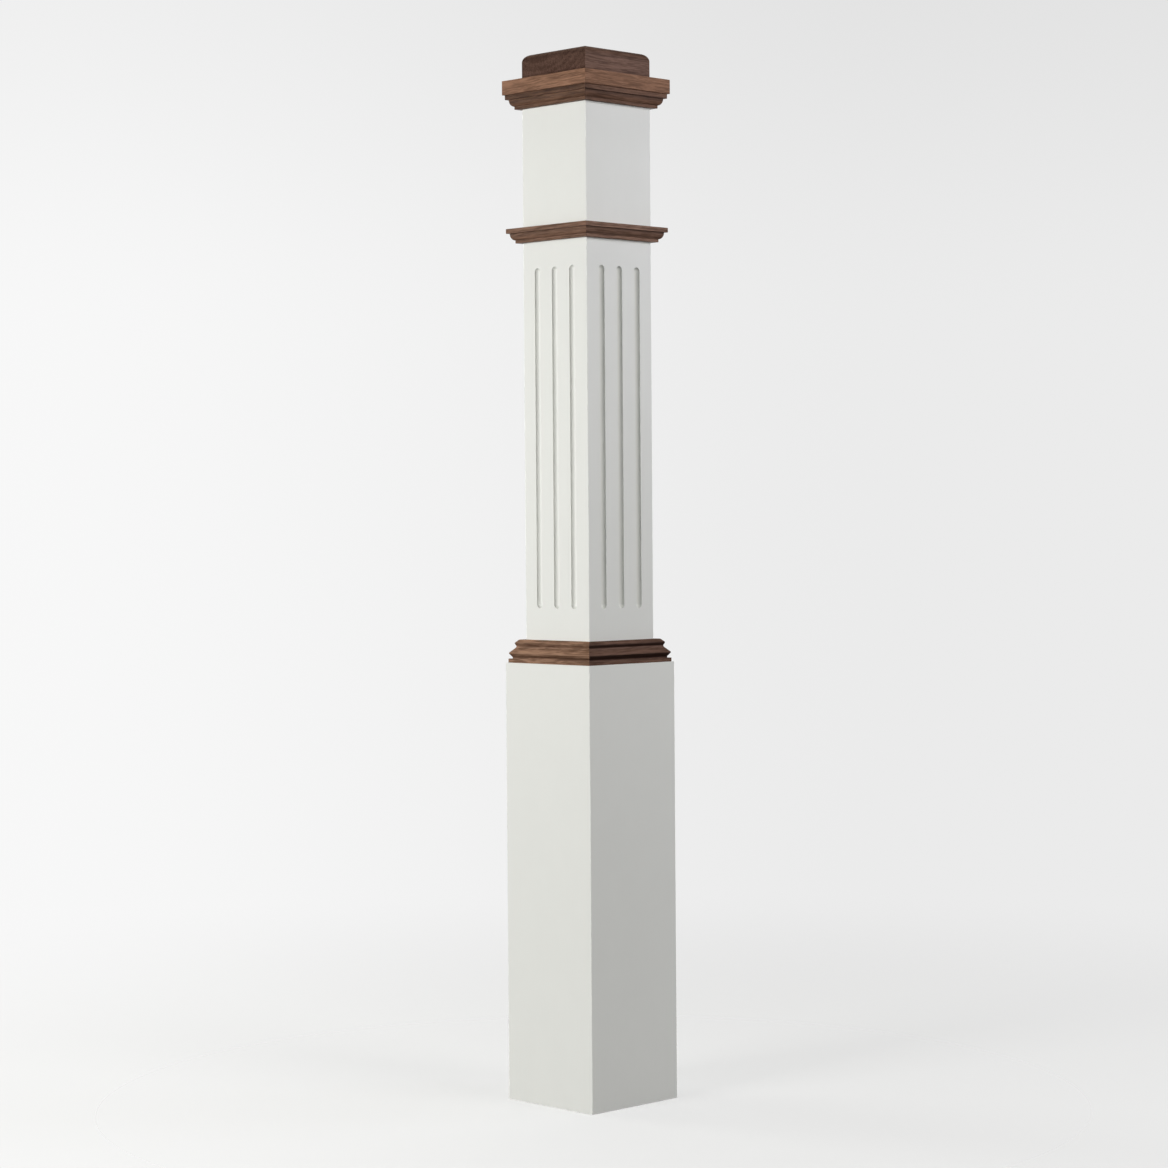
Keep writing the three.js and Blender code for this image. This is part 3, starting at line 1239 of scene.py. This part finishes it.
@dataclass
class Studio:
    """The camera, the pale floor, the pale surroundings and the soft boxes."""

    camera_distance: float = 4.5883
    camera_azimuth: float = math.radians(45.491)
    camera_height: float = 0.8998
    camera_heading: float = math.radians(45.596)
    camera_pitch: float = math.radians(-1.239)
    camera_roll: float = math.radians(-0.416)
    lens: float = 91.215
    sensor: float = 36.0
    floor_radius: float = 4.0
    floor_share: float = 0.33
    fade_start: float = 0.1
    fade_end: float = 2.6
    floor_tone: Colour = (0.895, 0.895, 0.882)
    glow_from_below: float = 0.03
    fill_from_behind: float = 1.8
    backdrop_left: float = 0.935
    backdrop_right: float = 0.83
    backdrop_top: float = 0.92
    backdrop_turn: Span = (-0.2, 0.12)
    backdrop_rise: Span = (0.06, 0.2)
    glow_band: Span = (-0.45, -0.15)
    fill_band: Span = (0.7, 0.92)
    soft_boxes: tuple[SoftBox, ...] = (
        SoftBox("front_box", (-0.1, -3.6, 1.3), (0, 0, 0.9), (1.2, 1.4), 103.0, (1.0, 0.995, 0.98)),
        SoftBox("left_box", (-3.1, -0.9, 1.3), (0, 0, 0.9), (1.2, 1.4), 52.0, (0.98, 1.0, 0.95)),
        SoftBox("right_box", (3.35, 0.45, 1.95), (0, 0, 0.9), (1.6, 1.8), 66.0, (1.0, 0.995, 0.975)),
        SoftBox("near_right_box", (1.3, 1.7, 1.7), (0, 0, 1.3), (0.8, 1.0), 12.0, (0.86, 0.87, 1.0)),
        SoftBox("top_box", (0, 0, 3.6), (0, 0, 0), (1.6, 1.6), 17.5, (1.0, 0.985, 0.87)),
    )

    def hang_camera(self) -> None:
        """Sets the camera where the photograph's perspective puts it."""
        heading, pitch = self.camera_heading, self.camera_pitch
        forward = Vector(
            (
                -math.sin(heading) * math.cos(pitch),
                math.cos(heading) * math.cos(pitch),
                math.sin(pitch),
            )
        )
        level = Vector((math.cos(heading), math.sin(heading), 0))
        right = Matrix.Rotation(-self.camera_roll, 3, forward) @ level
        up = right.cross(forward)
        turn = Matrix((right, up, -forward)).transposed().to_4x4()
        place = Vector(
            (
                self.camera_distance * math.sin(self.camera_azimuth),
                -self.camera_distance * math.cos(self.camera_azimuth),
                self.camera_height,
            )
        )
        data = bpy.data.cameras.new("camera")
        data.lens = self.lens
        data.sensor_width = self.sensor
        data.clip_start = 0.1
        data.clip_end = 100.0
        camera = bpy.data.objects.new("camera", data)
        camera.matrix_world = Matrix.Translation(place) @ turn
        bpy.context.scene.collection.objects.link(camera)
        bpy.context.scene.camera = camera

    def lay_floor(self) -> None:
        """Lays a round pale floor that fades into the surroundings."""
        mesh = bmesh.new()
        bmesh.ops.create_circle(mesh, cap_ends=True, segments=96, radius=self.floor_radius)
        floor = as_object("studio_floor", mesh)
        material, wiring, shader = new_material("studio_floor")
        shader.inputs["Base Color"].default_value = with_alpha(self.floor_tone)
        shader.inputs["Roughness"].default_value = 0.9
        shader.inputs["Specular IOR Level"].default_value = 0.0
        source = wiring.node("ShaderNodeTexCoord")
        away = wiring.measure("LENGTH", source.outputs["Object"])
        clear_share = 1 - self.floor_share
        fade = wiring.remap(away, self.fade_start, self.fade_end, clear_share, 1.0)
        clear = wiring.node("ShaderNodeBsdfTransparent")
        mixed = wiring.node("ShaderNodeMixShader")
        wiring.feed(mixed.inputs[0], fade)
        wiring.feed(mixed.inputs[1], shader.outputs["BSDF"])
        wiring.feed(mixed.inputs[2], clear.outputs["BSDF"])
        output = next(n for n in wiring.tree.nodes if n.type == "OUTPUT_MATERIAL")
        wiring.feed(output.inputs["Surface"], mixed.outputs["Shader"])
        floor.data.materials.append(material)

    def backdrop_tone(self, wiring: Wiring, way: bpy.types.NodeSocket) -> bpy.types.NodeSocket:
        """How bright the surroundings look: brighter on the left, a little darker on high.

        Args:
            wiring: the world's wiring.
            way: the direction looked in.

        Returns:
            The brightness.
        """
        level = Vector((math.cos(self.camera_heading), math.sin(self.camera_heading), 0))
        across = wiring.measure("DOT_PRODUCT", way, level)
        tone = wiring.remap(
            across, *self.backdrop_turn, self.backdrop_left, self.backdrop_right
        )
        rise = wiring.part(way, "Z")
        height = wiring.remap(rise, *self.backdrop_rise, 1.0, self.backdrop_top)
        return wiring.maths("MULTIPLY", tone, height)

    def light_surroundings(self) -> None:
        """Makes the pale surroundings: the backdrop as it looks, and the light that it gives.

        The light is a faint glow from below and a broad fill on the far sides from behind.
        """
        world = bpy.data.worlds.new("studio")
        world.use_nodes = True
        world.node_tree.nodes.clear()
        wiring = Wiring(world.node_tree)
        source = wiring.node("ShaderNodeTexCoord")
        way = source.outputs["Generated"]
        backdrop = wiring.node("ShaderNodeBackground")
        wiring.feed(backdrop.inputs["Strength"], self.backdrop_tone(wiring, way))
        backdrop.inputs["Color"].default_value = with_alpha((1.0, 1.0, 1.0))
        rise = wiring.part(way, "Z")
        glow = wiring.remap(rise, *self.glow_band, self.glow_from_below, 0.0)
        away = Vector((-math.sin(self.camera_heading), math.cos(self.camera_heading), 0))
        behind = wiring.measure("DOT_PRODUCT", way, away)
        fill = wiring.remap(behind, *self.fill_band, 0.0, self.fill_from_behind)
        light = wiring.node("ShaderNodeBackground")
        wiring.feed(light.inputs["Strength"], wiring.maths("ADD", glow, fill))
        light.inputs["Color"].default_value = with_alpha((1.0, 1.0, 1.0))
        path = wiring.node("ShaderNodeLightPath")
        mixed = wiring.node("ShaderNodeMixShader")
        wiring.feed(mixed.inputs[0], path.outputs["Is Camera Ray"])
        wiring.feed(mixed.inputs[1], light.outputs["Background"])
        wiring.feed(mixed.inputs[2], backdrop.outputs["Background"])
        output = wiring.node("ShaderNodeOutputWorld")
        wiring.feed(output.inputs["Surface"], mixed.outputs["Shader"])
        bpy.context.scene.world = world
        bpy.context.scene.view_settings.view_transform = "Standard"

    def build(self) -> None:
        """Sets up the whole studio."""
        self.hang_camera()
        self.lay_floor()
        self.light_surroundings()
        for soft_box in self.soft_boxes:
            soft_box.build()


# The post


SLAB_TONE: Colour = (0.222, 0.116, 0.070)
BLOCK_TONE: Colour = (0.158, 0.091, 0.068)
CAP_TONES: tuple[Colour, Colour] = ((0.138, 0.072, 0.044), (0.144, 0.077, 0.051))
NECK_TONES: tuple[Colour, Colour] = ((0.162, 0.089, 0.058), (0.192, 0.111, 0.078))
BASE_TONES: tuple[Colour, Colour] = ((0.260, 0.151, 0.097), (0.120, 0.067, 0.048))


# Painted light on the mouldings. Positive strengths paint shade into the undersides, the quirks and the
# strip under the slab; negative ones paint a highlight along the base cap's nose and the low part of the
# neck's ovolo on front and back.
BASE_RECESSES = (
    Recess(15.6 * MM, 9.6 * MM, 1.2 * MM, 3.4 * MM, (0.55, 0.0)),
    Recess(16 * MM, 11 * MM, 3.3 * MM, 5.1 * MM, (0.12, 0.88)),
    Recess(11.6 * MM, 27.7 * MM, 1.4 * MM, 3.5 * MM, (0.4, 0.88)),
    Recess(18.9 * MM, 15.4 * MM, 0.0, 2.5 * MM, (-0.6, -0.3), reaches_front=True),
)
NECK_RECESSES = (
    Recess(14.3 * MM, 15 * MM, 2 * MM, 6.5 * MM, (0.2, 0.48)),
    Recess(12 * MM, 7 * MM, 1 * MM, 3.4 * MM, (-0.3, 0.5)),
)
CAP_RECESSES = (
    Recess(14.3 * MM, 15 * MM, 2.5 * MM, 7.5 * MM, (0.15, 0.46)),
    Recess(18.5 * MM, 22.2 * MM, 3 * MM, 9 * MM, (0.5, 0.1), reaches_front=True),
)
BASE_SCORES = tuple(
    height * MM for height in (9.6, 10.8, 12.5, 13.5, 16.4, 18, 26.6, 27.7, 28.8)
)
CAP_SCORES = (17 * MM, 19.5 * MM)


def moulding_looks(
    name: str,
    tones: Sequence[Colour],
    middle: tuple[float, float],
    seed: float,
    curl: float = 0.0,
) -> dict[Side, WalnutFinish]:
    """A walnut finish for each side's length of a moulding, each from another part of the board.

    Args:
        name: the moulding's name.
        tones: the wood's mean colour on the front and back, and on the right and left.
        middle: how far out from the axis and how high the length's middle lies.
        seed: moves the figure along the board.
        curl: how strong the curl is on the front and back.

    Returns:
        The finish of each side.
    """
    looks = {}
    for side in Side:
        turned = side.turn @ Vector((0, -middle[0], middle[1]))
        faces_front = side in (Side.FRONT, Side.BACK)
        looks[side] = WalnutFinish(
            name=f"{name}_{side.label}",
            tone=tones[side.value % 2],
            turn=side.angle,
            middle=tuple(turned),
            heart=(0.05, 0.02) if faces_front else (0.02, 0.08),
            start=seed + 0.7 * side.value,
            lean=math.radians(1.6 if faces_front else 0.5),
            curl=curl if faces_front else 0.15 * curl,
        )
    return looks


def dress_mouldings(finishes: Finishes) -> None:
    """Makes and dresses the three walnut mouldings, from the lowest up."""
    base_looks = moulding_looks("walnut_base_cap", BASE_TONES, (0.085, 0.697), 0.2, curl=0.45)
    neck_looks = moulding_looks("walnut_neck", NECK_TONES, (0.085, 1.339), 3.1)
    cap_looks = moulding_looks("walnut_cap_trim", CAP_TONES, (0.085, 1.546), 6.3)
    BaseCap(
        "base_cap",
        "walnut_base_cap",
        Slot.WARM_WALNUT,
        base_looks,
        BASE_RECESSES,
        BASE_SCORES,
    ).build(finishes)
    SmallMoulding(
        "neck_moulding", "walnut_neck_moulding", Slot.DARK_WALNUT, neck_looks, NECK_RECESSES
    ).build(finishes)
    SmallMoulding(
        "cap_moulding",
        "walnut_cap_moulding",
        Slot.DARK_WALNUT,
        cap_looks,
        CAP_RECESSES,
        CAP_SCORES,
    ).build(finishes)


def dress_cap(finishes: Finishes) -> None:
    """Makes and dresses the slab and the block on it."""
    slab_look = WalnutFinish(
        "walnut_slab",
        SLAB_TONE,
        middle=(0.0, 0.0, 1.568),
        heart=(0.01, 0.11),
        start=5.2,
        lean=math.radians(0.6),
        wraps=True,
    )
    CapSlab(slab_look).build(finishes)
    block_look = WalnutFinish(
        "walnut_cap_block",
        BLOCK_TONE,
        grain=Grain.ALONG_Y,
        middle=(0.0, 0.0, 1.599),
        heart=(0.03, 0.1),
        start=4.7,
        lean=math.radians(0.8),
        ring_width=11 * MM,
        end_shade=0.5,
    )
    CapBlock(block_look).build(finishes)


def main() -> None:
    """Loads the solids, dresses each piece in turn, and sets up the studio."""
    logging.basicConfig(level=logging.INFO, format="%(message)s")
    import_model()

    finishes = Finishes()
    FlutedShaft("shaft", "painted_shaft_board").build(finishes)
    BoardBox("lower_box", "painted_box_board").build(finishes)
    dress_mouldings(finishes)
    dress_cap(finishes)

    Studio().build()


if __name__ == "__main__":
    main()
